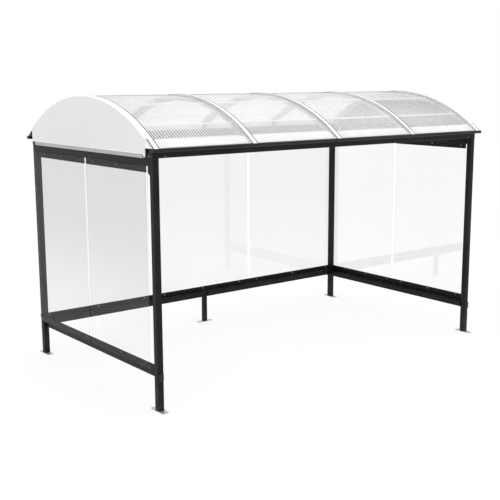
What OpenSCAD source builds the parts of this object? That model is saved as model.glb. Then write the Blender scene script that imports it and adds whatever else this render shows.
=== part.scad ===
// Open-fronted bike shelter: a bolted steel frame with clear side and rear panes and a barrel-vault roof.
// Origin: centre of the footprint, on the ground. +X runs along the shelter, +Y to the rear, +Z up.

/* [Overall] */
// Length over the outer faces of the corner posts
length = 4200; // [3400:10:5200]
// Depth over the outer faces of the corner posts
depth = 2310; // [1900:10:2800]
// Clear height under the eave beams
headroom = 2225; // [1800:5:2700]
// Height of the roof crown above the eave beams
roof_rise = 415; // [320:5:540]

/* [Frame] */
// Side of the square posts
post_side = 60; // [50:1:75]
// Side of the square middle leg
leg_side = 50; // [40:1:60]
// Wall of the square tubes and the top rails
tube_wall = 3; // [2:0.5:5]
// Outer corner radius of the square tubes
tube_round = 6; // [5.5:0.5:10]
// Height of the top rails
top_rail_h = 68; // [50:1:90]
// Height of the tubes in the bottom rails
low_tube_h = 60; // [40:1:80]
// Depth of the tubes in the bottom rails
low_tube_d = 40; // [32:1:50]
// Underside of the bottom rails at the two ends
end_rail_z = 296; // [200:1:420]
// Underside of the bottom rail at the rear
rear_rail_z = 314; // [220:1:440]
// Top of the upright leg of the bottom rail angles
angle_top_z = 427; // [400:1:560]
// Thickness of the bottom rail angles
angle_t = 4; // [3:0.5:6]
// Thickness of the plates welded to the ends of the bottom rails
end_plate_t = 6; // [4:0.5:10]
// How far those plates stay inside the outer faces of the posts
end_plate_in = 6; // [2:1:12]

/* [Feet] */
// Thickness of the foot plates
plate_t = 8; // [6:1:12]
// Length of the foot plates
plate_l = 200; // [180:1:240]
// How far a foot plate stands out beside its post
plate_past = 3; // [2:1:20]
// Corner radius of the foot plates
plate_round = 8; // [4:1:16]
// Distance between the two anchor holes in a foot plate
anchor_pitch = 146; // [130:1:160]
// Diameter of the anchor holes
anchor_d = 14; // [10:0.5:18]

/* [Panes] */
// Thickness of the clear panes
pane_t = 5; // [4:0.5:8]
// Lower edge of the panes
pane_low_z = 368; // [340:1:400]
// Gap between neighbouring panes
pane_gap = 50; // [20:1:80]
// Open gap between a front post and the pane beside it
front_gap = 63; // [20:1:120]
// How far the end panes lap over the rear posts
rear_lap = 15; // [4:1:30]
// How far the rear panes stay inside the outer faces of the rear posts
rear_inset = 10; // [4:1:30]
// How far the rear panes reach up over the eave beam
rear_pane_up = 40; // [20:1:48]
// Height of the strips that the end panes hang from
hanger_h = 55; // [30:1:70]
// Thickness of the hanger strips
hanger_t = 5; // [3:0.5:8]
// How far a hanger strip runs past each edge of its pane
hanger_past = 8; // [0:1:9]

/* [Roof] */
// Height of the eave beams
beam_h = 85; // [70:1:110]
// Depth of the eave beams, front to back
beam_d = 120; // [70:1:150]
// Overhang of the roof past the posts at each end
roof_past = 32; // [10:1:60]
// How far the eave nose stands out from the posts
nose_out = 63; // [45:1:90]
// Thickness of the eave nose
nose_t = 32; // [20:1:36]
// Wall of the hollow eave nose
nose_wall = 3; // [2:0.5:4]
// How far the noses reach past the gable panels
nose_past = 1; // [0:0.5:5]
// How far the sheets reach over the eave nose
sheet_out = 32; // [15:1:40]
// Thickness of the roof sheets
sheet_t = 10; // [6:1:16]
// Gap between neighbouring sheets on a rib
sheet_gap = 6; // [4:1:12]
// Width of the roof ribs
rib_w = 52; // [40:1:70]
// Depth of the roof ribs
rib_depth = 42; // [30:1:60]
// Wall of the hollow roof ribs
rib_wall = 2.5; // [2:0.5:4]
// Gap between the end ribs and the gable panels
rib_inset = 13; // [0:1:30]
// Width of the purlins between the ribs
purlin_w = 16; // [10:1:30]
// Depth of the purlins
purlin_h = 12; // [8:1:24]
// Wall of the hollow purlins
purlin_wall = 1.5; // [1:0.1:1.8]
// Clearance between the purlins and the sheets
purlin_gap = 0.5; // [0.5:0.1:3]
// Angle between neighbouring purlins, as a share of the arch from crown to eave
purlin_share = 0.365; // [0.25:0.005:0.42]
// Width of the cover bars over the sheet joints
cover_w = 48; // [40:1:80]
// Thickness of the cover bars
cover_t = 8; // [5:1:12]

/* [Gables] */
// Thickness of the gable panels
gable_t = 4; // [2:0.5:6]
// How far the gable panels stay inside the outer faces of the posts, front and rear
gable_inset = 70; // [50:1:90]
// Height of the sill strip left in sight under a gable panel
sill_h = 35; // [15:1:60]
// How far the sill runs up behind its gable panel
sill_lap = 25; // [15:1:60]
// Thickness of the sill angles
sill_t = 4; // [2:0.5:6]

/* [Brackets] */
// Height of the corner gussets
gusset_h = 75; // [40:1:110]
// Reach of the corner gussets
gusset_l = 25; // [15:1:50]
// Thickness of the corner gussets
gusset_t = 12; // [6:1:20]

/* [Hidden] */
SIDES = ["left", "right"];
EDGES = ["left", "right", "rear"];
BAYS = 4;
REAR_PANES = 3;
END_PANES = 2;
PURLINS_PER_SIDE = 2;
PURLIN_ROUND = 2;

BLACK = "#2b2a29";
ZINC = "#b9bbb9";
WHITE = "#f2f2f0";
CLEAR = [0.90, 0.93, 0.94, 0.35];
MILKY = [0.92, 0.92, 0.93, 0.55];
PALE = "#e3e3e1";
SILVER = "#a9aaaa";

half_l = length / 2;
half_d = depth / 2;
post_x = half_l - post_side / 2;
post_y = half_d - post_side / 2;
inner_x = half_l - post_side;
inner_y = half_d - post_side;
low_tube_in = post_side / 2;
low_rail_in = low_tube_in + low_tube_d;
pane_top_z = headroom - top_rail_h;
eave_z = headroom + beam_h;
beam_inner_y = half_d - beam_d;
roof_half_l = half_l + roof_past;
sheet_half = half_d + sheet_out;
roof_r = (sheet_half * sheet_half + roof_rise * roof_rise) / (2 * roof_rise);
roof_axis_z = eave_z + roof_rise - roof_r;
rib_pitch = (2 * roof_half_l - 2 * gable_t - 2 * rib_inset - rib_w) / BAYS;
purlin_step = purlin_share * acos((eave_z - roof_axis_z) / roof_r);
gable_half = half_d - gable_inset;
END_PANE_W = (2 * inner_y + rear_lap - front_gap - (END_PANES - 1) * pane_gap) / END_PANES;
REAR_PANE_W = (length - 2 * rear_inset - (REAR_PANES - 1) * pane_gap) / REAR_PANES;

function rib_x(i) = (i - 1 - BAYS / 2) * rib_pitch;
function end_pane_y(k) = -inner_y + front_gap + k * (END_PANE_W + pane_gap);
function rear_pane_x(k) = -half_l + rear_inset + k * (REAR_PANE_W + pane_gap);

// A rectangle with rounded corners, centred
module rounded(w, h, r) {
    union() {
        square([w - 2 * r, h], center = true);
        square([w, h - 2 * r], center = true);
        for (x = [-1, 1]) for (y = [-1, 1])
            translate([x * (w / 2 - r), y * (h / 2 - r)]) circle(r = r, $fn = 32);
    }
}

// The section of a rectangular tube, centred
module tube_section(w, h, wall, r) {
    difference() {
        rounded(w, h, r);
        rounded(w - 2 * wall, h - 2 * wall, r - wall);
    }
}

// Stands a profile drawn across the shelter, as y and z, along X from x0 to x1
module along_x(x0, x1) {
    translate([x0, 0, 0]) rotate([90, 0, 90]) linear_extrude(x1 - x0) children();
}

// Stands a profile drawn along the shelter, as x and z, along Y from y0 to y1
module along_y(y0, y1) {
    translate([0, y1, 0]) rotate([90, 0, 0]) linear_extrude(y1 - y0) children();
}

// A square tube that stands on its foot plate
module post(x, y, side, top) {
    color(BLACK) translate([x, y, plate_t])
        linear_extrude(top - plate_t) tube_section(side, side, tube_wall, tube_round);
}

// A foot plate with one anchor hole each side of the post; turn lays its length along X
module foot_plate(x, y, side, turn) {
    color(ZINC) translate([x, y, 0]) rotate([0, 0, turn]) difference() {
        linear_extrude(plate_t) rounded(side + 2 * plate_past, plate_l, plate_round);
        for (s = [-1, 1])
            translate([0, s * anchor_pitch / 2, -1]) cylinder(h = plate_t + 2, d = anchor_d, $fn = 48);
    }
}

// Sections of a bottom rail, drawn inwards from the outer face of the posts, with the tube's underside at z
module low_tube_section(z) {
    translate([-low_tube_in - low_tube_d / 2, z + low_tube_h / 2])
        tube_section(low_tube_d, low_tube_h, tube_wall, tube_round);
}

module low_plate_section(z) {
    translate([-low_rail_in, z]) square([low_rail_in - end_plate_in, low_tube_h]);
}

module angle_section(z) {
    union() {
        translate([-low_rail_in, z + low_tube_h]) square([low_rail_in, angle_t]);
        translate([-angle_t, z + low_tube_h]) square([angle_t, angle_top_z - z - low_tube_h]);
    }
}

module bottom_rail_end(side) {
    color(BLACK) on_side(side) {
        along_y(-inner_y + end_plate_t, inner_y - end_plate_t)
            translate([half_l, 0]) low_tube_section(end_rail_z);
        for (y = [-inner_y, inner_y - end_plate_t])
            along_y(y, y + end_plate_t) translate([half_l, 0]) low_plate_section(end_rail_z);
    }
}

module bottom_angle_end(side) {
    color(BLACK) on_side(side)
        along_y(-inner_y, inner_y) translate([half_l, 0]) angle_section(end_rail_z);
}

// The rear rail is in two halves, bolted to the sides of the middle leg
module bottom_rail_rear() {
    near = leg_side / 2;
    color(BLACK) for (side = SIDES) on_side(side) {
        along_x(near + end_plate_t, inner_x - end_plate_t)
            translate([half_d, 0]) low_tube_section(rear_rail_z);
        for (x = [near, inner_x - end_plate_t])
            along_x(x, x + end_plate_t) translate([half_d, 0]) low_plate_section(rear_rail_z);
    }
}

module bottom_angle_rear() {
    color(BLACK) along_x(-inner_x, inner_x) translate([half_d, 0]) angle_section(rear_rail_z);
}

// Draws a piece of the right-hand side, or its mirror image on the left
module on_side(side) {
    mirror([side == "left" ? 1 : 0, 0, 0]) children();
}

module top_rail(side) {
    color(BLACK) on_side(side) along_y(-inner_y, inner_y) translate([post_x, headroom - top_rail_h / 2])
        tube_section(post_side, top_rail_h, tube_wall, tube_round);
}

// Eave pieces are drawn for the rear and mirrored to the front
module at_eave(end) {
    mirror([0, end == "front" ? 1 : 0, 0]) children();
}

module eave_beam(end) {
    color(BLACK) at_eave(end) along_x(-half_l, half_l)
        translate([half_d - beam_d / 2, headroom + beam_h / 2])
            tube_section(beam_d, beam_h, tube_wall, tube_round);
}

// Rounded nose along the outer face of an eave beam, drawn at thickness t
module nose_outline(t) {
    skin = (nose_t - t) / 2;
    union() {
        translate([half_d + nose_out - nose_t / 2, eave_z - nose_t / 2]) circle(d = t, $fn = 48);
        translate([half_d + skin, eave_z - nose_t + skin]) square([nose_out - nose_t / 2 - skin, t]);
    }
}

module eave_nose(end) {
    color(BLACK) at_eave(end) along_x(-roof_half_l - nose_past, roof_half_l + nose_past) difference() {
        nose_outline(nose_t);
        nose_outline(nose_t - 2 * nose_wall);
    }
}

// Wedges that close the gap between the eaves and the foot of the sheets, one in each bay
module eave_closures() {
    color(WHITE) for (end = ["front", "rear"]) at_eave(end) for (i = [1 : BAYS])
        along_x(rib_x(i) + rib_w / 2, rib_x(i + 1) - rib_w / 2) intersection() {
            translate([0, roof_axis_z]) circle(r = roof_r - sheet_t, $fn = 360);
            translate([gable_half, eave_z]) square([sheet_half - gable_half, roof_rise]);
        }
}

module end_pane(side, k) {
    color(CLEAR) on_side(side)
        translate([half_l, end_pane_y(k), pane_low_z]) cube([pane_t, END_PANE_W, pane_top_z - pane_low_z]);
}

module rear_pane(k) {
    color(CLEAR) translate([rear_pane_x(k), half_d, pane_low_z])
        cube([REAR_PANE_W, pane_t, headroom + rear_pane_up - pane_low_z]);
}

// Flat strips under the top rails, one behind the head of each end pane
module pane_hangers() {
    color(BLACK) for (side = SIDES) on_side(side) for (k = [0 : END_PANES - 1]) {
        y0 = end_pane_y(k) - hanger_past;
        y1 = min(end_pane_y(k) + END_PANE_W + hanger_past, inner_y);
        translate([half_l - hanger_t, y0, pane_top_z - hanger_h]) cube([hanger_t, y1 - y0, hanger_h]);
    }
}

// A band of the barrel vault between two radii, cut off level with the eaves
module vault_band(r_in, r_out) {
    intersection() {
        translate([0, roof_axis_z]) difference() {
            circle(r = r_out, $fn = 360);
            circle(r = r_in, $fn = 360);
        }
        translate([-depth, eave_z]) square([2 * depth, 2 * roof_rise]);
    }
}

module roof_rib(i) {
    r = roof_r - sheet_t;
    color(SILVER) difference() {
        along_x(rib_x(i) - rib_w / 2, rib_x(i) + rib_w / 2) vault_band(r - rib_depth, r);
        along_x(rib_x(i) - rib_w / 2 + rib_wall, rib_x(i) + rib_w / 2 - rib_wall)
            vault_band(r - rib_depth + rib_wall, r - rib_wall);
    }
}

// Small tubes under the sheets, from rib to rib in each bay, one of them at the crown
module roof_purlins() {
    color(WHITE) for (i = [1 : BAYS]) for (k = [-PURLINS_PER_SIDE : PURLINS_PER_SIDE])
        along_x(rib_x(i) + rib_w / 2, rib_x(i + 1) - rib_w / 2)
            translate([0, roof_axis_z]) rotate([0, 0, k * purlin_step])
                translate([0, roof_r - sheet_t - purlin_gap - purlin_h / 2])
                    tube_section(purlin_w, purlin_h, purlin_wall, PURLIN_ROUND);
}

module roof_sheet(i) {
    x0 = i == 1 ? -roof_half_l + gable_t : rib_x(i) + sheet_gap / 2;
    x1 = i == BAYS ? roof_half_l - gable_t : rib_x(i + 1) - sheet_gap / 2;
    color(MILKY) along_x(x0, x1) vault_band(roof_r - sheet_t, roof_r);
}

module roof_cover_bars() {
    color(WHITE) for (i = [1 : BAYS + 1])
        along_x(rib_x(i) - cover_w / 2, rib_x(i) + cover_w / 2) vault_band(roof_r, roof_r + cover_t);
}

module gable(side) {
    color(PALE) on_side(side) along_x(roof_half_l - gable_t, roof_half_l) intersection() {
        translate([0, roof_axis_z]) circle(r = roof_r, $fn = 360);
        translate([-gable_half, headroom + sill_h]) square([2 * gable_half, beam_h + roof_rise]);
    }
}

// Angles on the top rails, between the eave beams, that the gable panels are fixed to
module gable_sills() {
    out_x = roof_half_l - gable_t;
    color(SILVER) for (side = SIDES) on_side(side) along_y(-beam_inner_y, beam_inner_y) union() {
        translate([inner_x, headroom]) square([out_x - inner_x, sill_t]);
        translate([out_x - sill_t, headroom]) square([sill_t, sill_h + sill_lap]);
    }
}

// Gussets between the front posts and the top rails, flush with the outer faces
module corner_gussets() {
    color(BLACK) for (side = SIDES) on_side(side)
        translate([half_l - gusset_t, 0, 0]) along_x(0, gusset_t) translate([-inner_y, pane_top_z])
            polygon([[0, 0], [gusset_l, 0], [gusset_l, -gusset_h * 0.75], [0, -gusset_h]]);
}

post(-post_x, -post_y, post_side, headroom);  // post_front_left
post(post_x, -post_y, post_side, headroom);  // post_front_right
post(-post_x, post_y, post_side, headroom);  // post_rear_left
post(post_x, post_y, post_side, headroom);  // post_rear_right
post(0, post_y, leg_side, rear_rail_z + low_tube_h);  // leg_rear_middle
foot_plate(-post_x, -post_y, post_side, 0);  // foot_plate_front_left
foot_plate(post_x, -post_y, post_side, 0);  // foot_plate_front_right
foot_plate(-post_x, post_y, post_side, 0);  // foot_plate_rear_left
foot_plate(post_x, post_y, post_side, 0);  // foot_plate_rear_right
foot_plate(0, post_y, leg_side, 90);  // foot_plate_rear_middle
bottom_rail_end("left");  // bottom_rail_left
bottom_rail_end("right");  // bottom_rail_right
bottom_rail_rear();
bottom_angle_end("left");  // bottom_angle_left
bottom_angle_end("right");  // bottom_angle_right
bottom_angle_rear();
top_rail("left");  // top_rail_left
top_rail("right");  // top_rail_right
eave_beam("front");  // eave_beam_front
eave_beam("rear");  // eave_beam_rear
eave_nose("front");  // eave_nose_front
eave_nose("rear");  // eave_nose_rear
eave_closures();
end_pane("left", 0);  // pane_left_front
end_pane("left", 1);  // pane_left_rear
end_pane("right", 0);  // pane_right_front
end_pane("right", 1);  // pane_right_rear
rear_pane(0);  // pane_rear_left
rear_pane(1);  // pane_rear_middle
rear_pane(2);  // pane_rear_right
pane_hangers();
roof_rib(1);  // roof_rib_1
roof_rib(2);  // roof_rib_2
roof_rib(3);  // roof_rib_3
roof_rib(4);  // roof_rib_4
roof_rib(5);  // roof_rib_5
roof_purlins();
roof_sheet(1);  // roof_sheet_1
roof_sheet(2);  // roof_sheet_2
roof_sheet(3);  // roof_sheet_3
roof_sheet(4);  // roof_sheet_4
roof_cover_bars();
gable("left");  // gable_left
gable("right");  // gable_right
gable_sills();
corner_gussets();
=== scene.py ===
import math

import bmesh
import bpy
from mathutils import Matrix, Vector


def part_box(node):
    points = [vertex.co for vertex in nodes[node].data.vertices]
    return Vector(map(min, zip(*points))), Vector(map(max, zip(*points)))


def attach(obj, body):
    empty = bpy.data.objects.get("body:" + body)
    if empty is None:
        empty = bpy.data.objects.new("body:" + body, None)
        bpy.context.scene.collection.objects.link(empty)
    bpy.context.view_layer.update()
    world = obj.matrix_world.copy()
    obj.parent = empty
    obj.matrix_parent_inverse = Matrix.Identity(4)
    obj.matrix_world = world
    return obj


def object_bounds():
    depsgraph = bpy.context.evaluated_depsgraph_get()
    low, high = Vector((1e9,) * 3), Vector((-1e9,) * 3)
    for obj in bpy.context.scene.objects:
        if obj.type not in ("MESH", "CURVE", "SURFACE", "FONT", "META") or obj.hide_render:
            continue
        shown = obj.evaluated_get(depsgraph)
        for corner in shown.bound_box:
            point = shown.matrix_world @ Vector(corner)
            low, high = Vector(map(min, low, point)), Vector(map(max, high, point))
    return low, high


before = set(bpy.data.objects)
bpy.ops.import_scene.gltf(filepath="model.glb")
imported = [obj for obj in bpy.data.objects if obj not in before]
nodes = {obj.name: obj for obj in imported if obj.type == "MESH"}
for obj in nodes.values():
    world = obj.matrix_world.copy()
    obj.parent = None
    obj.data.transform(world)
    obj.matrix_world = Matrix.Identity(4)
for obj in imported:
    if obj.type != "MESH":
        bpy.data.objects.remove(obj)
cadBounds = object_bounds()
print("frame loaded:", len(nodes), "nodes")


# where things are, read from the frame
def low(node):
    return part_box(node)[0]


def high(node):
    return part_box(node)[1]


postSide = high("post_front_left").x - low("post_front_left").x
outerX, outerY = high("post_rear_right").x, high("post_rear_right").y
postX, postY = outerX - postSide / 2, outerY - postSide / 2
innerX, innerY = outerX - postSide, outerY - postSide
plateTop = high("foot_plate_front_left").z
paneFaceX = high("pane_right_front").x  # outer faces of the end and rear panes
paneFaceY = high("pane_rear_left").y
paneTop = high("pane_left_front").z
eaveZ = high("eave_beam_front").z
headroom = low("eave_beam_front").z
beamInnerY = low("eave_beam_rear").y
noseY = high("eave_nose_rear").y
noseX = high("eave_nose_rear").x
noseLow = low("eave_nose_rear").z
gableFace = high("gable_right").x
gableBack = low("gable_right").x
gableHalf = high("gable_right").y
boxX = cadBounds[1].x
sheetFoot = high("roof_sheet_2").y  # the sheets' lower edges
crownZ = high("roof_sheet_2").z
crownRise = crownZ - eaveZ
roofRadius = (sheetFoot**2 + crownRise**2) / (2 * crownRise)
axisZ = crownZ - roofRadius
coverEnd = high("roof_cover_bars").x
ribCentres = [(low(f"roof_rib_{i}").x + high(f"roof_rib_{i}").x) / 2 for i in range(1, 6)]
coverHalf = coverEnd - ribCentres[-1]
footAngle = math.acos((eaveZ - axisZ) / roofRadius)


# shader sums
class Signal:  # one value in a surface's nodes, with Python's own sums
    def __init__(self, surface, socket):
        self.surface = surface
        self.socket = socket

    def math(self, operation, *values):
        settings = {"operation": operation}
        return self.surface.add("ShaderNodeMath", settings, dict(enumerate(values)))

    def __add__(self, other):
        return self.math("ADD", self, other)

    def __radd__(self, other):
        return self.math("ADD", other, self)

    def __sub__(self, other):
        return self.math("SUBTRACT", self, other)

    def __rsub__(self, other):
        return self.math("SUBTRACT", other, self)

    def __mul__(self, other):
        return self.math("MULTIPLY", self, other)

    def __rmul__(self, other):
        return self.math("MULTIPLY", other, self)

    def __truediv__(self, other):
        return self.math("DIVIDE", self, other)

    def __abs__(self):
        return self.math("ABSOLUTE", self)

    def fraction(self):
        return self.math("FRACT", self)

    def above(self, start, end):  # 0 up to start, 1 from end, smooth between
        settings = {"interpolation_type": "SMOOTHSTEP"}
        return self.surface.add("ShaderNodeMapRange", settings, {0: self, 1: start, 2: end})


class Surface:  # a material with one Principled shader
    def __init__(self, name, **fixed):
        self.material = bpy.data.materials.new(name)
        self.material.use_nodes = True
        self.tree = self.material.node_tree
        self.shader = self.tree.nodes["Principled BSDF"]
        for socketName, value in fixed.items():
            self.feed(socketName.replace("_", " "), value)
        self.coords = self.add("ShaderNodeTexCoord", {}, {}, "Object")
        self.axes = [self.add("ShaderNodeSeparateXYZ", {}, {0: self.coords}, i) for i in range(3)]
        facing = self.add("ShaderNodeNewGeometry", {}, {}, "Normal")
        self.facing = [self.add("ShaderNodeSeparateXYZ", {}, {0: facing}, i) for i in range(3)]

    def add(self, kind, settings, inputs, output=0):
        made = self.tree.nodes.new(kind)
        for setting, value in settings.items():
            setattr(made, setting, value)
        for place, value in inputs.items():
            self.join(made.inputs[place], value)
        return Signal(self, made.outputs[output])

    def join(self, socket, value):
        if isinstance(value, Signal):
            self.tree.links.new(value.socket, socket)
        else:
            socket.default_value = value

    def feed(self, socketName, value):
        if isinstance(value, tuple) and len(value) == 3:
            value = (*value, 1)
        self.join(self.shader.inputs[socketName], value)

    def place(self, scale):  # object coordinates, stretched
        return self.add("ShaderNodeMapping", {}, {"Vector": self.coords, "Scale": scale})

    def noise(self, scale, detail=3.0, roughness=0.5, stretch=(1, 1, 1)):
        where = {"Vector": self.place(stretch), "Scale": scale}
        where.update({"Detail": detail, "Roughness": roughness})
        return self.add("ShaderNodeTexNoise", {}, where, "Fac")

    def mix(self, factor, first, second):
        parts = {0: factor, 6: first, 7: second}
        parts = {k: (*v, 1) if isinstance(v, tuple) else v for k, v in parts.items()}
        return self.add("ShaderNodeMix", {"data_type": "RGBA"}, parts, 2)

    def shaderMix(self, factor, first, second):
        return self.add("ShaderNodeMixShader", {}, {0: factor, 1: first, 2: second})

    def seeThrough(self, haze, solid, mirror, glance, roughness):
        # haze is how much of the surface is solid, mirror and glance what it
        # reflects face on and edge on
        facing = self.add("ShaderNodeLayerWeight", {}, {"Blend": 0.5}, "Facing")
        shine = mirror + (facing * facing) * (facing * facing) * facing * (glance - mirror)
        gloss = self.add("ShaderNodeBsdfGlossy", {}, {"Roughness": roughness})
        body = self.shaderMix(haze, self.add("ShaderNodeBsdfTransparent", {}, {}), solid)
        output = self.tree.nodes["Material Output"]
        self.join(output.inputs["Surface"], self.shaderMix(shine, body, gloss))

    def bump(self, height, strength, distance):
        relief = {"Height": height, "Strength": strength, "Distance": distance}
        self.feed("Normal", self.add("ShaderNodeBump", {}, relief, "Normal"))


# finishes
powder = {
    "deep": (0.0050, 0.0048, 0.0045),
    "worn": (0.0110, 0.0105, 0.0100),
    "dust": (0.070, 0.066, 0.060),
    "dustHeight": 0.30,  # m above the ground where splash dust ends
    "peel": 650,  # orange peel, cells a metre
}


def powderCoat(name, grain):
    s = Surface(name, Specular_IOR_Level=0.15)
    cloud = s.noise(2.6, 4)
    peel = s.noise(powder["peel"], 1)
    scuffs = s.noise(34, 3, 0.6, grain).above(0.64, 0.74)
    splash = 1 - s.axes[2].above(0.0, powder["dustHeight"])
    ledge = s.facing[2].above(0.85, 0.98)
    dust = (splash * 0.55 + ledge * 0.35) * s.noise(14, 5).above(0.38, 0.72)
    paint = s.mix(cloud.above(0.35, 0.65), powder["deep"], powder["worn"])
    paint = s.mix(scuffs * 0.18, paint, (0.035, 0.034, 0.033))
    s.feed("Base Color", s.mix(dust * 0.55, paint, powder["dust"]))
    s.feed("Roughness", 0.40 + cloud * 0.12 + dust * 0.25 - scuffs * 0.06)
    s.bump(peel * 0.7 + cloud * 0.3, 0.10, 0.0006)
    return s.material


def extrudedBlack(name):  # powder-coated aluminium with faint drawing lines along X
    s = Surface(name, Specular_IOR_Level=0.22)
    lines = s.noise(420, 2, 0.5, (0.004, 1, 1))
    cloud = s.noise(1.8, 4)
    ledge = s.facing[2].above(0.80, 0.98)
    dust = ledge * s.noise(9, 5).above(0.36, 0.72)
    paint = s.mix(cloud.above(0.35, 0.65), (0.0055, 0.0052, 0.0050), (0.0125, 0.0120, 0.0115))
    s.feed("Base Color", s.mix(dust * 0.22, paint, powder["dust"]))
    s.feed("Roughness", 0.36 + lines * 0.10 + dust * 0.22)
    s.bump(lines * 0.6 + s.noise(powder["peel"], 1) * 0.4, 0.10, 0.0005)
    return s.material


def galvanised(name):
    s = Surface(name)
    cell = {"Vector": s.coords, "Scale": 70.0}
    spangle = s.add("ShaderNodeTexVoronoi", {}, cell, "Color")
    grey = s.add("ShaderNodeSeparateColor", {}, {0: spangle}, 0)
    edge = s.add("ShaderNodeTexVoronoi", {"feature": "DISTANCE_TO_EDGE"}, cell, "Distance")
    stain = s.noise(26, 5, 0.6).above(0.55, 0.75)
    zinc = s.mix(grey, (0.50, 0.515, 0.52), (0.72, 0.73, 0.73))
    s.feed("Base Color", s.mix(stain * 0.5, zinc, (0.80, 0.80, 0.78)))
    s.feed("Metallic", 0.85 - stain * 0.5)
    s.feed("Roughness", 0.34 + grey * 0.18 + stain * 0.25)
    s.bump(edge.above(0.0, 0.05) * 0.5 + grey * 0.3, 0.25, 0.0004)
    return s.material


panes = {  # one clear sheet, with its values set apart per side as painted light: film is the grey of one face at its foot, head the painted shade it gains towards the top, mirror and glance what it reflects face on and edge on, made stronger or weaker per side as painted reflection
    "left": {"film": 0.008, "head": 0.094, "mirror": 0.018, "glance": 0.25},
    "rear": {"film": 0.040, "head": 0.014, "mirror": 0.036, "glance": 0.9},
    "right": {"film": 0.006, "head": 0.002, "mirror": 0.090, "glance": 0.9},
}


def clearPane(name, across, film, head, mirror, glance):  # across is the axis through the sheet
    s = Surface(name, Specular_IOR_Level=0.0)
    wiped = s.noise(2.2, 5, 0.6, (1, 1, 0.45)).above(0.35, 0.75)
    specks = s.noise(210, 2).above(0.70, 0.78)
    splash = 1 - s.axes[2].above(0.37, 0.62)
    # painted shade: the haze grows towards the top, so the pane darkens there
    upper = s.axes[2].above(0.35, 1.7)
    edge = 1 - abs(s.facing[across]).above(0.4, 0.6)
    # the haze holds real smudges and specks and, in upper times head, painted shade
    haze = film + upper * head + wiped * 0.010 + splash * wiped * 0.02 + specks * 0.03
    # the grey that the haze shows, for grime and for painted shade
    grimeAndPaintedShade = s.mix(wiped * 0.6, (0.05, 0.05, 0.05), (0.20, 0.20, 0.19))
    s.feed("Base Color", s.mix(edge, grimeAndPaintedShade, (0.42, 0.46, 0.46)))
    s.feed("Roughness", 0.4 + wiped * 0.2)
    s.bump(s.noise(1.4, 2), 0.05, 0.003)
    blur = 0.015 + wiped * 0.03 + specks * 0.1 + edge * 0.2
    s.seeThrough(haze + edge * 0.30, Signal(s, s.shader.outputs[0]), mirror, glance, blur)
    return s.material


multiwall = {"pitch": 0.030, "skin": 0.09, "wall": 0.78, "mirror": 0.02, "glance": 0.5, "glow": 0.5}


def clearMultiwall(name):  # clear twin skins with fine walls that run along the arch
    s = Surface(name, Specular_IOR_Level=0.0)
    across = abs((s.axes[0] / multiwall["pitch"]).fraction() - 0.5) * 2
    wall = across.above(0.60, 0.72)
    flute = 1 - across.above(0.0, 0.4)
    film = s.noise(1.7, 5, 0.6, (1, 2.2, 1)).above(0.30, 0.72)
    foot = 1 - s.axes[2].above(eaveZ, eaveZ + 0.12)
    milky = s.mix(wall, (0.985, 0.985, 0.985), (0.995, 0.995, 0.995))
    s.feed("Base Color", s.mix(film * 0.12, milky, (0.90, 0.90, 0.88)))
    s.feed("Roughness", 0.5 + film * 0.2)
    s.bump(wall * 0.7 + flute * 0.3, 0.25, 0.0005)
    shownThrough = s.add("ShaderNodeBsdfTranslucent", {}, {"Color": (0.995, 0.995, 0.995, 1)})
    solid = s.shaderMix(multiwall["glow"], Signal(s, s.shader.outputs[0]), shownThrough)
    haze = multiwall["skin"] + wall * multiwall["wall"] + foot * film * 0.06
    blur = 0.08 + wall * 0.1 + film * 0.05
    s.seeThrough(haze, solid, multiwall["mirror"], multiwall["glance"], blur)
    return s.material


gablePaint = {  # the last colour is painted shade, a dark grey on the inner face of a panel
    "light": (0.755, 0.755, 0.75), "dark": (0.725, 0.725, 0.72),
    "innerShade": (0.12, 0.12, 0.118),
}


def paleCoat(name, light, dark, innerShade=None):
    s = Surface(name, Specular_IOR_Level=0.35)
    cloud = s.noise(2.0, 5, 0.55)
    runs = s.noise(26, 3, 0.5, (1, 1, 0.12)).above(0.50, 0.80)
    peel = s.noise(520, 1)
    colour = s.mix(cloud.above(0.3, 0.7), light, dark)
    colour = s.mix(runs * 0.10, colour, (0.62, 0.61, 0.58))
    if innerShade:
        # painted shade: the inner face of the gable is painted a dark grey
        inner = 1 - abs(s.axes[0]).above(gableBack + 0.001, gableBack + 0.002)
        colour = s.mix(inner, colour, innerShade)
    s.feed("Base Color", colour)
    s.feed("Roughness", 0.38 + cloud * 0.14 + runs * 0.08)
    s.bump(peel * 0.6 + cloud * 0.4, 0.10, 0.0006)
    return s.material


def foamStrip(name, light=(0.90, 0.90, 0.89), dark=(0.80, 0.80, 0.78)):
    s = Surface(name, Specular_IOR_Level=0.2)
    cells = s.add("ShaderNodeTexVoronoi", {}, {"Vector": s.coords, "Scale": 360.0}, "Distance")
    cloud = s.noise(7, 4)
    s.feed("Base Color", s.mix(cloud.above(0.3, 0.7), light, dark))
    s.feed("Roughness", 0.78 + cells * 0.15)
    s.bump(cells, 0.30, 0.0008)
    return s.material


def millAluminium(name, drawn):  # drawn stretches the brushing along the extrusion
    s = Surface(name)
    lines = s.noise(520, 3, 0.6, drawn)
    cloud = s.noise(6, 4)
    s.feed("Base Color", s.mix(cloud * 0.6 + lines * 0.4, (0.36, 0.36, 0.36), (0.52, 0.52, 0.52)))
    s.feed("Metallic", 0.75 + cloud * 0.15)
    s.feed("Roughness", 0.32 + lines * 0.20)
    s.bump(lines, 0.18, 0.0003)
    return s.material


def blackRubber(name):
    s = Surface(name, Specular_IOR_Level=0.30)
    bloom = s.noise(40, 4, 0.6).above(0.45, 0.75)
    s.feed("Base Color", s.mix(bloom, (0.014, 0.014, 0.015), (0.034, 0.034, 0.034)))
    s.feed("Roughness", 0.62 + bloom * 0.20)
    s.bump(s.noise(900, 2), 0.15, 0.0004)
    return s.material


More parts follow.
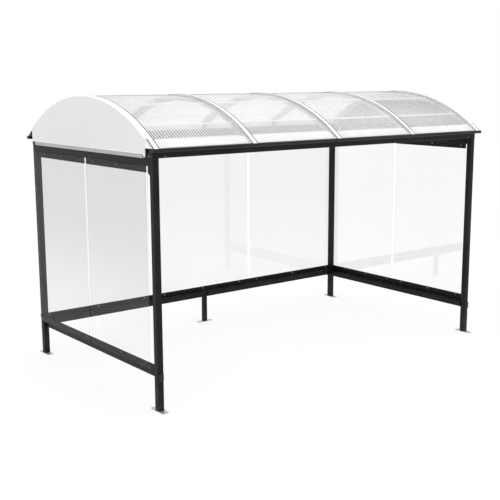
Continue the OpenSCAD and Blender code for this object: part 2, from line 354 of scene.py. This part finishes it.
def mouldedBlack(name):
    s = Surface(name, Specular_IOR_Level=0.32)
    grain = s.add("ShaderNodeTexVoronoi", {}, {"Vector": s.coords, "Scale": 900.0}, "Distance")
    cloud = s.noise(22, 3)
    s.feed("Base Color", s.mix(cloud, (0.006, 0.006, 0.006), (0.016, 0.0155, 0.015)))
    s.feed("Roughness", 0.44 + grain * 0.18)
    s.bump(grain, 0.22, 0.0004)
    return s.material


def stainless(name):
    s = Surface(name, Metallic=1.0)
    swirl = s.noise(260, 3, 0.6)
    tea = s.noise(30, 4, 0.6).above(0.62, 0.80)
    s.feed("Base Color", s.mix(tea * 0.5, (0.30, 0.30, 0.30), (0.22, 0.19, 0.16)))
    s.feed("Roughness", 0.22 + swirl * 0.16 + tea * 0.2)
    s.bump(swirl, 0.10, 0.0002)
    return s.material


def weldMetal(name):
    s = Surface(name, Specular_IOR_Level=0.30)
    ripples = s.noise(190, 2, 0.5, (1, 1, 0.3))
    spatter = s.noise(420, 2).above(0.66, 0.74)
    s.feed("Base Color", s.mix(ripples, (0.006, 0.006, 0.006), (0.018, 0.017, 0.016)))
    s.feed("Roughness", 0.42 + ripples * 0.2)
    s.bump(ripples + spatter * 0.4, 0.6, 0.0012)
    return s.material


finish = {
    "powderUpright": powderCoat("powder_coat_uprights", (1, 1, 0.10)),
    "powderAlongY": powderCoat("powder_coat_end_rails", (1, 0.10, 1)),
    "powderAlongX": powderCoat("powder_coat_long_rails", (0.10, 1, 1)),
    "extrudedBlack": extrudedBlack("black_eave_extrusion"),
    "galvanised": galvanised("galvanised_steel"),
    # the three pane materials are copies of one clear sheet, lit and shaded apart per side as
    # painted light
    "leftPane": clearPane("clear_pane_left", 0, **panes["left"]),
    "rearPane": clearPane("clear_pane_rear", 1, **panes["rear"]),
    "rightPane": clearPane("clear_pane_right", 0, **panes["right"]),
    "multiwall": clearMultiwall("clear_multiwall"),
    "ribWhite": paleCoat("white_rib_coat", (0.93, 0.93, 0.93), (0.86, 0.86, 0.86)),
    "gableGrey": paleCoat("grey_gable_coat", **gablePaint),
    "foam": foamStrip("white_foam"),
    "sill": millAluminium("mill_aluminium_sill", (1, 0.01, 1)),
    # the ribs are a darker grey than the white trims as painted shade, for how they look in shadow
    # under the sheets; the brushing is real
    "ribShadeGrey": millAluminium("mill_aluminium_ribs_painted_shade", (1, 0.05, 0.05)),
    "rubber": blackRubber("black_rubber"),
    # painted shade: a grey strip stands in for the shaded line along the ridge
    "ridgeShade": foamStrip("grey_ridge_painted_shade", (0.30, 0.30, 0.30), (0.22, 0.22, 0.22)),
    "cap": mouldedBlack("moulded_black_caps"),
    "stainless": stainless("stainless_fixings"),
    "weld": weldMetal("painted_weld"),
}

nodeFinish = {
    "post_": "powderUpright",
    "leg_": "powderUpright",
    "corner_gussets": "powderUpright",
    "foot_plate_": "galvanised",
    "bottom_rail_rear": "powderAlongX",
    "bottom_angle_rear": "powderAlongX",
    "bottom_": "powderAlongY",
    "top_rail_": "powderAlongY",
    "pane_hangers": "powderAlongY",
    "eave_beam_": "powderAlongX",
    "eave_nose_": "extrudedBlack",
    "eave_closures": "foam",
    "pane_left_": "leftPane",
    "pane_rear_": "rearPane",
    "pane_right_": "rightPane",
    "roof_sheet_": "multiwall",
    # painted shade: the roof ribs get the darker grey
    "roof_rib_": "ribShadeGrey",
    "roof_": "ribWhite",
    "gable_sills": "sill",
    "gable_": "gableGrey",
}
for nodeName, node in nodes.items():
    chosen = next(f for start, f in nodeFinish.items() if nodeName.startswith(start))
    node.data.materials.clear()
    node.data.materials.append(finish[chosen])
print("finishes on the frame:", len(finish))


# shaping helpers
def addPiece(name, shape, finishName, smoothTo=40):
    bmesh.ops.remove_doubles(shape, verts=shape.verts, dist=1e-6)
    bmesh.ops.recalc_face_normals(shape, faces=shape.faces)
    mesh = bpy.data.meshes.new(name)
    shape.to_mesh(mesh)
    shape.free()
    mesh.materials.append(finish[finishName])
    mesh.shade_smooth()
    mesh.set_sharp_from_angle(angle=math.radians(smoothTo))
    piece = bpy.data.objects.new(name, mesh)
    bpy.context.scene.collection.objects.link(piece)
    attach(piece, "root")
    return piece


def turned(profile, steps):  # a (radius, height) profile turned about Z, as a mesh to stamp
    shape = bmesh.new()
    points = [shape.verts.new((radius, 0, height)) for radius, height in profile]
    edges = [shape.edges.new(pair) for pair in zip(points, points[1:])]
    bmesh.ops.spin(shape, geom=points + edges, cent=(0, 0, 0), axis=(0, 0, 1),
                   angle=math.tau, steps=steps, use_merge=True)
    bmesh.ops.remove_doubles(shape, verts=shape.verts, dist=1e-6)
    bmesh.ops.recalc_face_normals(shape, faces=shape.faces)
    mesh = bpy.data.meshes.new("stamp")
    shape.to_mesh(mesh)
    shape.free()
    return mesh


def stamp(shape, mesh, place, direction, turn=0.0):  # a copy of mesh with its Z along direction
    count = len(shape.verts)
    shape.from_mesh(mesh)
    shape.verts.ensure_lookup_table()
    toward = Vector(direction).to_track_quat("Z", "Y").to_matrix().to_4x4()
    matrix = Matrix.Translation(place) @ toward @ Matrix.Rotation(turn, 4, "Z")
    bmesh.ops.transform(shape, matrix=matrix, verts=shape.verts[count:])


def block(shape, first, second, rounding, segments=2):  # a box with rounded edges
    lowest, highest = [Vector(map(pick, first, second)) for pick in (min, max)]
    made = bmesh.ops.create_cube(shape, size=1)["verts"]
    bmesh.ops.scale(shape, vec=highest - lowest, verts=made)
    bmesh.ops.translate(shape, vec=(highest + lowest) / 2, verts=made)
    edges = list({edge for vert in made for edge in vert.link_edges})
    bmesh.ops.bevel(shape, geom=edges, offset=rounding, segments=segments, profile=0.5,
                    affect="EDGES", material=-1)


def arched(shape, corners, start, end, steps):  # sweeps (x, radius) corners about the vault's axis
    points = [shape.verts.new((x, 0, axisZ + radius)) for x, radius in corners]
    face = shape.faces.new(points)
    pivot = Matrix.Translation((0, 0, axisZ))
    aim = pivot @ Matrix.Rotation(start, 4, "X") @ pivot.inverted()
    bmesh.ops.transform(shape, matrix=aim, verts=points)
    bmesh.ops.spin(shape, geom=[face, *face.edges, *points], cent=(0, 0, axisZ), axis=(1, 0, 0),
                   angle=end - start, steps=steps)


def onSheet(angle, radius):  # y and z at an angle from the crown, towards the rear
    return radius * math.sin(angle), axisZ + radius * math.cos(angle)


def mirrored(shape, axis):  # adds the mirror image across the middle of the shelter
    whole = [*shape.verts, *shape.edges, *shape.faces]
    copy = bmesh.ops.duplicate(shape, geom=whole)["geom"]
    flip = Matrix.Scale(-1, 4, axis)
    verts = [part for part in copy if isinstance(part, bmesh.types.BMVert)]
    bmesh.ops.transform(shape, matrix=flip, verts=verts)


alongX, alongY = Vector((1, 0, 0)), Vector((0, 1, 0))

# rubber lips along both edges of each cover bar
lip = {"width": 0.0080, "height": 0.00795, "steps": 48, "tuck": 0.0015, "endSteps": 6}
barEdge = {"width": 0.0030, "height": 0.0056, "rounding": 0.0010}
gableAngle = math.asin((gableHalf + 0.001) / roofRadius)
sheetTop = roofRadius - 0.0003


def besideBar(shape, centre, side, outline, start, end, steps):
    # the outline runs out from the bar's edge
    corners = [(centre + side * (coverHalf + out), radius) for out, radius in outline]
    arched(shape, corners, start, end, steps)


lipOutline = [(-lip["tuck"], sheetTop), (-lip["tuck"], roofRadius + lip["height"]),
              (lip["width"], roofRadius + lip["height"]), (lip["width"], sheetTop)]
inside, outside = lip["width"] - 0.0002, lip["width"] + barEdge["width"]
crest = roofRadius + barEdge["height"]
edgeOutline = [(inside, sheetTop), (inside, crest), (outside - barEdge["rounding"], crest),
               (outside, crest - barEdge["rounding"]), (outside, sheetTop)]
barTrims = (("lips", lipOutline, "rubber"), ("edges", edgeOutline, "ribWhite"))
for name, outline, finishName in barTrims:
    shape = bmesh.new()
    for centre in ribCentres:
        for side in (-1, 1):
            if abs(centre + side * coverHalf) < coverEnd - 0.001:
                besideBar(shape, centre, side, outline, -footAngle, footAngle, lip["steps"])
    addPiece(f"cover_bar_{name}", shape, finishName, 60)
    shape = bmesh.new()  # outside the end bars they show only past the gables
    for start, end in ((gableAngle, footAngle), (-footAngle, -gableAngle)):
        besideBar(shape, ribCentres[-1], 1, outline, start, end, lip["endSteps"])
    mirrored(shape, alongX)
    addPiece(f"end_bar_{name}", shape, finishName, 60)

# folded rims of the gables, over the edges of the end sheets
gableRim = {"thick": 0.0062, "proud": 0.0006, "gap": 0.0004, "chamfer": 0.002}
shape = bmesh.new()
inner, outer = coverEnd + gableRim["gap"], gableFace + gableRim["proud"]
foot, top = roofRadius - 0.0002, roofRadius + gableRim["thick"]
chamfer = gableRim["chamfer"]
outline = [(inner, foot), (inner, top), (outer - chamfer, top), (outer, top - chamfer),
           (outer, foot)]
arched(shape, outline, -gableAngle, gableAngle, lip["steps"])
mirrored(shape, alongX)
addPiece("gable_rims", shape, "ribWhite", 60)

# grey strip along the crown of each sheet, a dark thing put there as painted shade for the shaded
# line along the ridge
ridge = {"half": 0.006, "thick": 0.0030, "bury": 0.0012, "rounding": 0.0010}
shape = bmesh.new()
for first, second in zip(ribCentres, ribCentres[1:]):
    gap = coverHalf + outside
    block(shape, (first + gap, -ridge["half"], crownZ - ridge["bury"]),
          (second - gap, ridge["half"], crownZ + ridge["thick"]), ridge["rounding"])
addPiece("ridge_shade_strips", shape, "ridgeShade")
print("rubber lips done")


# plates that close the ends of the eaves beside the gables
eavePlate = {
    "inside": 0.005, "lift": 0.0005, "gap": 0.0015, "inset": 0.0002, "short": 0.0008,
    "steps": 8,
}


def eaveEndPlate(front):
    shape = bmesh.new()
    outer, plateX = roofRadius - eavePlate["inside"], gableBack + eavePlate["inset"]
    heelY, heelZ = gableHalf + eavePlate["gap"], eaveZ + eavePlate["lift"]
    footSide, gableSide = math.acos((heelZ - axisZ) / outer), math.asin(heelY / outer)
    first = shape.verts.new((plateX, *onSheet(footSide, outer)))
    curve = bmesh.ops.spin(shape, geom=[first], cent=(0, 0, axisZ), axis=(1, 0, 0),
                           angle=footSide - gableSide, steps=eavePlate["steps"])["geom_last"]
    heel = shape.verts.new((plateX, heelY, heelZ))
    last = next(part for part in curve if isinstance(part, bmesh.types.BMVert))
    shape.edges.new((last, heel))
    shape.edges.new((heel, first))
    bmesh.ops.contextual_create(shape, geom=shape.edges[:])
    raised = bmesh.ops.extrude_face_region(shape, geom=shape.faces[:])["geom"]
    bmesh.ops.translate(shape, vec=(gableFace - gableBack - eavePlate["short"], 0, 0),
                        verts=[part for part in raised if isinstance(part, bmesh.types.BMVert)])
    if front:
        bmesh.ops.transform(shape, matrix=Matrix.Scale(-1, 4, alongY), verts=shape.verts)
    mirrored(shape, alongX)
    return shape


addPiece("eave_end_plates_front", eaveEndPlate(True), "ribWhite")
addPiece("eave_end_plates_rear", eaveEndPlate(False), "cap")

# caps on the open ends of the eave beams and noses
endCap = {
    "inset": 0.0015, "tuck": 0.002, "proud": 0.0025, "rounding": 0.0012,
    "screwY": 0.055, "screwZ": 0.018,
}
noseCap = {"inset": 0.001, "tuck": 0.003, "short": 0.0002, "steps": 14}

shape = bmesh.new()
block(shape, (outerX - endCap["tuck"], outerY - endCap["inset"], headroom + endCap["inset"]),
      (outerX + endCap["proud"], beamInnerY + endCap["inset"], eaveZ - endCap["inset"]),
      endCap["rounding"])
mirrored(shape, alongX)
mirrored(shape, alongY)
addPiece("eave_beam_caps", shape, "cap")

shape = bmesh.new()
noseRadius = (eaveZ - noseLow) / 2 - noseCap["inset"]
capX, capLow = noseX - noseCap["tuck"], noseLow + noseCap["inset"]
noseCentreY = noseY - noseRadius - noseCap["inset"]
first = shape.verts.new((capX, noseCentreY, capLow))
arc = bmesh.ops.spin(shape, geom=[first], cent=(0, noseCentreY, capLow + noseRadius),
                     axis=(1, 0, 0), angle=math.pi, steps=noseCap["steps"])["geom_last"]
last = next(part for part in arc if isinstance(part, bmesh.types.BMVert))
heelY = outerY + noseCap["inset"]
heels = [shape.verts.new((capX, heelY, z)) for z in (last.co.z, first.co.z)]
for pair in ((last, heels[0]), (heels[0], heels[1]), (heels[1], first)):
    shape.edges.new(pair)
bmesh.ops.contextual_create(shape, geom=shape.edges[:])
raised = bmesh.ops.extrude_face_region(shape, geom=shape.faces[:])["geom"]
bmesh.ops.translate(shape, vec=(boxX - noseCap["short"] - capX, 0, 0),
                    verts=[part for part in raised if isinstance(part, bmesh.types.BMVert)])
mirrored(shape, alongX)
mirrored(shape, alongY)
addPiece("eave_nose_caps", shape, "cap")
print("eave caps done")

# moulded covers over the bolts of the bottom rails
railCover = {"width": 0.050, "height": 0.072, "proud": 0.013, "z": 0.316, "rounding": 0.0055}
sideCover = {"width": 0.050, "height": 0.031, "proud": 0.008, "z": 0.414, "rounding": 0.0038}
coverTuck, coverSegments = 0.001, 4

shape = bmesh.new()
half, tall = railCover["width"] / 2, railCover["height"] / 2
block(shape, (postX - half, coverTuck - outerY, railCover["z"] - tall),
      (postX + half, -outerY - railCover["proud"], railCover["z"] + tall),
      railCover["rounding"], coverSegments)
mirrored(shape, alongX)
mirrored(shape, alongY)
addPiece("rail_bolt_covers", shape, "cap", 60)

shape = bmesh.new()
half, tall = sideCover["width"] / 2, sideCover["height"] / 2
block(shape, (outerX - coverTuck, postY - half, sideCover["z"] - tall),
      (outerX + sideCover["proud"], postY + half, sideCover["z"] + tall),
      sideCover["rounding"], coverSegments)
mirrored(shape, alongX)
addPiece("side_bolt_covers", shape, "cap", 60)

# welds round the feet of the posts
weld = {"leg": 0.005, "clearance": 0.0008, "corner": 0.008}

shape = bmesh.new()
feet = [(x, y, postSide) for x in (-postX, postX) for y in (-postY, postY)]
legSide = high("leg_rear_middle").x - low("leg_rear_middle").x
feet.append((0, postY, legSide))
for x, y, side in feet:
    made = bmesh.ops.create_cube(shape, size=1)["verts"]
    wide = side + 2 * weld["leg"]
    bmesh.ops.scale(shape, vec=(wide, wide, weld["leg"]), verts=made)
    bmesh.ops.translate(shape, vec=(x, y, plateTop + weld["leg"] / 2), verts=made)
    upper = [vert for vert in made if vert.co.z > plateTop + weld["leg"] / 2]
    pivot = Matrix.Translation((-x, -y, 0))
    narrow = (side + weld["clearance"]) / wide
    bmesh.ops.scale(shape, vec=(narrow, narrow, 1), space=pivot, verts=upper)
    corners = list({edge for vert in made for edge in vert.link_edges
                    if abs(edge.verts[0].co.z - edge.verts[1].co.z) > weld["leg"] / 2})
    bmesh.ops.bevel(shape, geom=corners, offset=weld["corner"], segments=4, profile=0.5,
                    affect="EDGES", material=-1)
addPiece("foot_welds", shape, "weld", 50)
print("covers and welds done")

# screws through the panes
screw = {
    "endBottomZ": 0.412, "endTopZ": paneTop - 0.020,
    "rearBottomZ": 0.404, "rearTopZ": headroom + 0.022,
    "frontPaneY": (-0.973, -0.549, -0.125), "rearPaneY": (0.123, 0.502, 0.880),
    "rearPaneX": (-2.00, -1.41, -0.82, -0.546, 0.0, 0.546, 0.82, 1.41, 2.00),
    "steps": 18,
    "angleThick": 0.004, "hangerThick": 0.005,  # what the inner nuts sit on
    "washerThick": 0.0012,
}
buttonHead = turned([
    (0, 0.0016), (0.0022, 0.0016), (0.0026, 0.0036), (0.0045, 0.0033), (0.0062, 0.0022),
    (0.0066, 0.0006), (0.0062, 0), (0, 0)], screw["steps"])
rubberWasher = turned([
    (0, 0), (0.0100, 0), (0.0104, 0.0006), (0.0098, 0.0014), (0, 0.0014)], screw["steps"])
domeNut = turned([
    (0, 0.0105), (0.0026, 0.0100), (0.0046, 0.0082), (0.0056, 0.0058), (0.0064, 0.0052),
    (0.0066, 0.0008), (0.0092, 0.0007), (0.0092, 0), (0, 0)], screw["steps"])

bright, black = bmesh.new(), bmesh.new()
endYs = screw["frontPaneY"] + screw["rearPaneY"]
endRows = ((screw["endBottomZ"], screw["angleThick"]), (screw["endTopZ"], screw["hangerThick"]))
headOut = screw["washerThick"]
for side in (-1, 1):
    for y in endYs:
        for z, back in endRows:
            stamp(black, rubberWasher, (side * paneFaceX, y, z), (side, 0, 0))
            stamp(bright, buttonHead, (side * (paneFaceX + headOut), y, z), (side, 0, 0), y * 9)
            stamp(bright, domeNut, (side * (outerX - back), y, z), (-side, 0, 0), y * 7)
for x in screw["rearPaneX"]:
    for z in (screw["rearBottomZ"], screw["rearTopZ"]):
        stamp(black, rubberWasher, (x, paneFaceY, z), (0, 1, 0))
        stamp(bright, buttonHead, (x, paneFaceY + headOut, z), (0, 1, 0), x * 9)
    nutY = outerY - screw["angleThick"]
    stamp(bright, domeNut, (x, nutY, screw["rearBottomZ"]), (0, -1, 0), x * 7)
addPiece("pane_screws", bright, "stainless", 35)
addPiece("pane_screw_washers", black, "rubber", 35)

# screws in the eave beams and their caps
beamScrew = {"fromEnd": 0.121, "z": headroom + 0.013}

shape = bmesh.new()
for side in (-1, 1):
    for end in (-1, 1):
        onBeam = (side * (outerX - beamScrew["fromEnd"]), end * outerY, beamScrew["z"])
        stamp(shape, buttonHead, onBeam, (0, end, 0))
        capY, capZ = outerY - endCap["screwY"], headroom + endCap["screwZ"]
        onCap = (side * (outerX + endCap["proud"]), end * capY, capZ)
        stamp(shape, buttonHead, onCap, (side, 0, 0))
addPiece("beam_screws", shape, "stainless", 35)


# hex bolts through the end plates of the bottom rails
def hexHead(across, height):
    shape = bmesh.new()
    bmesh.ops.create_cone(shape, cap_ends=True, segments=6, radius1=across / math.sqrt(3),
                          radius2=across / math.sqrt(3), depth=height)
    bmesh.ops.translate(shape, vec=(0, 0, height / 2), verts=shape.verts)
    rim = [edge for edge in shape.edges if all(v.co.z > height * 0.9 for v in edge.verts)]
    bmesh.ops.bevel(shape, geom=rim, offset=height * 0.14, segments=2, profile=0.5,
                    affect="EDGES", material=-1)
    mesh = bpy.data.meshes.new("stamp")
    shape.to_mesh(mesh)
    shape.free()
    return mesh


plateBolt = {
    "across": 0.013, "head": 0.0053, "washer": 0.0085, "washerThick": 0.0016,
    "spread": 0.017,  # above and below the middle of the rail
    "in": 0.018,  # inside the outer faces of the posts
    "plateThick": 0.006,
}
plateHead = hexHead(plateBolt["across"], plateBolt["head"])
washerHigh, washerWide = plateBolt["washerThick"], plateBolt["washer"]
plateWasher = turned([(0, 0), (washerWide, 0), (washerWide, washerHigh), (0, washerHigh)],
                     screw["steps"])
railMidEnd = (low("bottom_rail_left").z + high("bottom_rail_left").z) / 2
railMidRear = (low("bottom_rail_rear").z + high("bottom_rail_rear").z) / 2
endPlate, boltIn = plateBolt["plateThick"], plateBolt["in"]

shape = bmesh.new()


def plateBolts(x, y, z, direction):
    for lift in (-plateBolt["spread"], plateBolt["spread"]):
        place = Vector((x, y, z + lift))
        stamp(shape, plateWasher, place, direction)
        seat = place + Vector(direction) * washerHigh
        stamp(shape, plateHead, seat, direction, 0.4 + lift * 20)


for side in (-1, 1):
    for end in (-1, 1):
        plateBolts(side * (outerX - boltIn), end * (innerY - endPlate), railMidEnd, (0, -end, 0))
    plateBolts(side * (innerX - endPlate), outerY - boltIn, railMidRear, (-side, 0, 0))
    plateBolts(side * (legSide / 2 + endPlate), outerY - boltIn, railMidRear, (side, 0, 0))
addPiece("end_plate_bolts", shape, "cap", 30)
print("screws and bolts done")

# rivets and folded edges of the gables
rivet = {"radius": 0.0055, "pitch": 0.150, "in": 0.028, "row": 0.012, "rowCount": 12, "steps": 12}
rivetHead = turned([(0, 0.0008), (0.0030, 0.0007), (0.0048, 0.0004), (rivet["radius"], 0), (0, 0)],
                   rivet["steps"])

shape = bmesh.new()
gableLow = low("gable_right").z
rim = roofRadius - rivet["in"]
reach = math.asin((gableHalf - rivet["in"]) / rim)
count = round(2 * reach * rim / rivet["pitch"])
for side in (-1, 1):
    for step in range(count + 1):
        y, z = onSheet(-reach + 2 * reach * step / count, rim)
        stamp(shape, rivetHead, (side * gableFace, y, z), (side, 0, 0))
    for step in range(rivet["rowCount"] + 1):
        y = (beamInnerY - 0.04) * (2 * step / rivet["rowCount"] - 1)
        stamp(shape, rivetHead, (side * gableFace, y, gableLow + rivet["row"]), (side, 0, 0))
addPiece("gable_rivets", shape, "gableGrey", 30)

hem = {
    "width": 0.012, "footHeight": 0.0065, "tuck": 0.001, "proud": 0.0009, "inset": 0.0005,
    "lift": 0.001, "below": 0.004, "rounding": 0.0007,
}
shape = bmesh.new()
hemBack, hemX = gableFace - hem["tuck"], gableFace + hem["proud"]
hemFoot, hemSide = gableLow + hem["lift"], gableHalf - hem["width"]
hemTop = onSheet(math.asin(gableHalf / roofRadius), roofRadius)[1] - hem["below"]
block(shape, (hemBack, hemSide, hemFoot), (hemX, gableHalf - hem["inset"], hemTop), hem["rounding"])
block(shape, (hemBack, -hemSide, hemFoot), (hemX, hemSide, hemFoot + hem["footHeight"]),
      hem["rounding"])
mirrored(shape, alongX)
addPiece("gable_folds", shape, "ribWhite")

# closing strips along the feet of the roof sheets
footStrip = {"deep": 0.011, "high": 0.009, "rounding": 0.0022}
shape = bmesh.new()
for first, second in zip(ribCentres, ribCentres[1:]):
    gap = coverHalf + outside
    block(shape, (first + gap, sheetFoot - footStrip["deep"] * 0.4, eaveZ + 0.0003),
          (second - gap, sheetFoot + footStrip["deep"] * 0.6, eaveZ + footStrip["high"]),
          footStrip["rounding"], 2)
mirrored(shape, alongY)
addPiece("sheet_foot_strips", shape, "ribWhite")
print("gable and roof trims done")

# floor, light and camera
studio = {
    "floorHalf": 40.0, "sky": 1.0, "floorGlow": 0.74,
    "keyPower": 40.0, "keySize": 4.0, "keyPlace": (-6.5, -5.5, 6.0),
    "fillPower": 20.0, "fillSize": 5.0, "fillPlace": (6.0, -6.0, 4.5),
    "topPower": 130.0, "topSize": 6.0, "topPlace": (0.3, 0.0, 9.0),
}
s = Surface("studio_floor", Specular_IOR_Level=0.0, Roughness=0.9)
s.feed("Base Color", s.mix(s.noise(0.6, 3), (0.26, 0.26, 0.26), (0.28, 0.28, 0.28)))
s.feed("Emission Color", (1, 1, 1))
s.shader.inputs["Emission Strength"].default_value = studio["floorGlow"]

shape = bmesh.new()
bmesh.ops.create_grid(shape, x_segments=8, y_segments=8, size=studio["floorHalf"])
bmesh.ops.translate(shape, vec=(0, 0, -0.0006), verts=shape.verts)
floorMesh = bpy.data.meshes.new("floor")
shape.to_mesh(floorMesh)
shape.free()
floorMesh.materials.append(s.material)
floor = bpy.data.objects.new("floor", floorMesh)
bpy.context.scene.collection.objects.link(floor)

world = bpy.data.worlds.new("studio")
bpy.context.scene.world = world
world.use_nodes = True
sky = world.node_tree.nodes["Background"]
sky.inputs["Color"].default_value = (1, 1, 1, 1)
sky.inputs["Strength"].default_value = studio["sky"]
bpy.context.scene.view_settings.view_transform = "Standard"


def softLight(name, power, size, place):
    lamp = bpy.data.lights.new(name, "AREA")
    lamp.energy, lamp.size = power, size
    made = bpy.data.objects.new(name, lamp)
    bpy.context.scene.collection.objects.link(made)
    toward = Vector((0, 0, 1.2)) - Vector(place)
    aim = toward.to_track_quat("-Z", "Y").to_matrix().to_4x4()
    made.matrix_world = Matrix.Translation(place) @ aim


softLight("key", studio["keyPower"], studio["keySize"], studio["keyPlace"])
softLight("fill", studio["fillPower"], studio["fillSize"], studio["fillPlace"])
softLight("top", studio["topPower"], studio["topSize"], studio["topPlace"])

view = {
    "yaw": 38.31, "pitch": 10.70, "roll": -0.16,  # degrees
    "place": (-6.170, -7.685, 2.878), "focal": 916.2, "centre": (255.64, 251.97), "side": 500,
}
yaw, pitch, roll = [math.radians(view[k]) for k in ("yaw", "pitch", "roll")]
ahead = Vector((math.sin(yaw) * math.cos(pitch), math.cos(yaw) * math.cos(pitch), -math.sin(pitch)))
across = Vector((math.cos(yaw), -math.sin(yaw), 0))
upward = across.cross(ahead)
right = across * math.cos(roll) + upward * math.sin(roll)
top = upward * math.cos(roll) - across * math.sin(roll)
cameraData = bpy.data.cameras.new("camera")
camera = bpy.data.objects.new("camera", cameraData)
bpy.context.scene.collection.objects.link(camera)
turn = Matrix((right, top, -ahead)).transposed().to_4x4()
camera.matrix_world = Matrix.Translation(view["place"]) @ turn
cameraData.sensor_width = 36
cameraData.lens = view["focal"] / view["side"] * cameraData.sensor_width
cameraData.shift_x = -(view["centre"][0] / view["side"] - 0.5)
cameraData.shift_y = view["centre"][1] / view["side"] - 0.5
bpy.context.scene.camera = camera
print("studio done")
